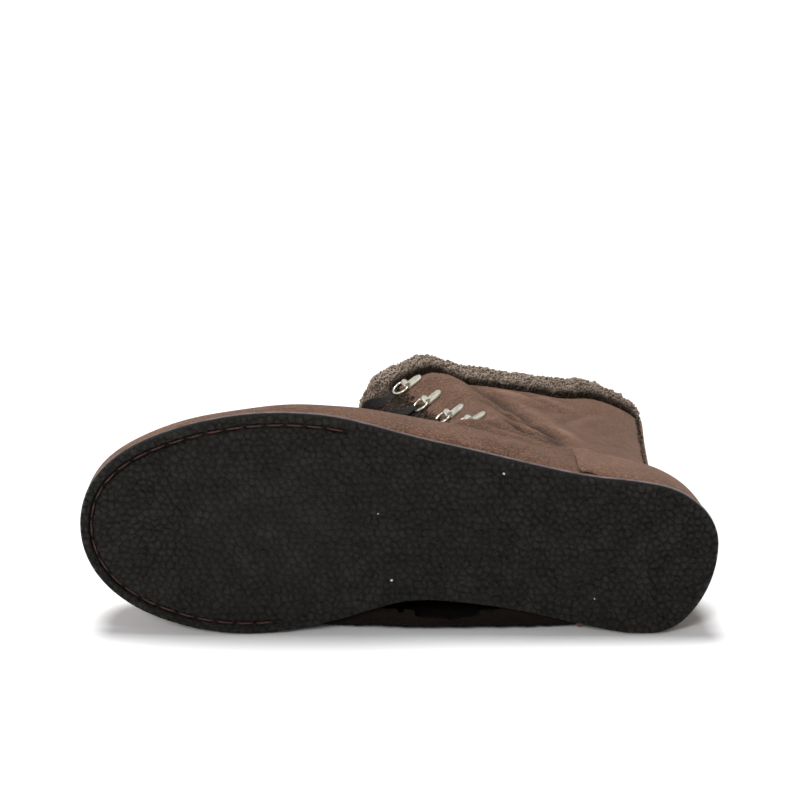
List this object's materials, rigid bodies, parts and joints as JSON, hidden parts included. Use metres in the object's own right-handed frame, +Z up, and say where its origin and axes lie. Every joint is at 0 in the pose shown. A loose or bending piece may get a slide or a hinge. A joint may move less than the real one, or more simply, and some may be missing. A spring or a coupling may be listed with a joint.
{
  "type": "mukluk boot",
  "caption": "Left lace-up mukluk boot lying on its inner side: flat rubber sole, soft suede foot and tapered shaft, fleece collar and tongue, D-ring lacing.",
  "frame": {"origin": "Bottom centre of the boot as it lies on its inner side, on the floor that its sole edge and its collar touch.", "axes": "+X runs from the toe to the heel, +Y from the tread towards the collar, and +Z up, from the inner side to the outer side."},
  "size_m": [0.2698, 0.214, 0.0971],
  "materials": {
    "rubber": "matte",
    "insole_brown": "matte",
    "suede": "napped",
    "dark_suede": "napped",
    "fleece": "curly pile",
    "nickel": "polished",
    "lace_grey": "woven"
  },
  "bodies": {
    "root": {"outsole": "rubber", "insole": "insole_brown", "upper": "suede", "tongue": "dark_suede", "heel_counter": "suede", "back_stay": "dark_suede", "collar_fleece": "fleece", "tongue_fleece": "fleece", "clamp_lateral_1": "nickel", "clamp_lateral_2": "nickel", "clamp_lateral_3": "nickel", "clamp_lateral_4": "nickel", "clamp_lateral_5": "nickel", "clamp_lateral_6": "nickel", "clamp_medial_1": "nickel", "clamp_medial_2": "nickel", "clamp_medial_3": "nickel", "clamp_medial_4": "nickel", "clamp_medial_5": "nickel", "clamp_medial_6": "nickel", "d_ring_lateral_1": "nickel", "d_ring_lateral_2": "nickel", "d_ring_lateral_3": "nickel", "d_ring_lateral_4": "nickel", "d_ring_lateral_5": "nickel", "d_ring_lateral_6": "nickel", "d_ring_medial_1": "nickel", "d_ring_medial_2": "nickel", "d_ring_medial_3": "nickel", "d_ring_medial_4": "nickel", "d_ring_medial_5": "nickel", "d_ring_medial_6": "nickel", "lace": "lace_grey"}
  },
  "joints": []
}
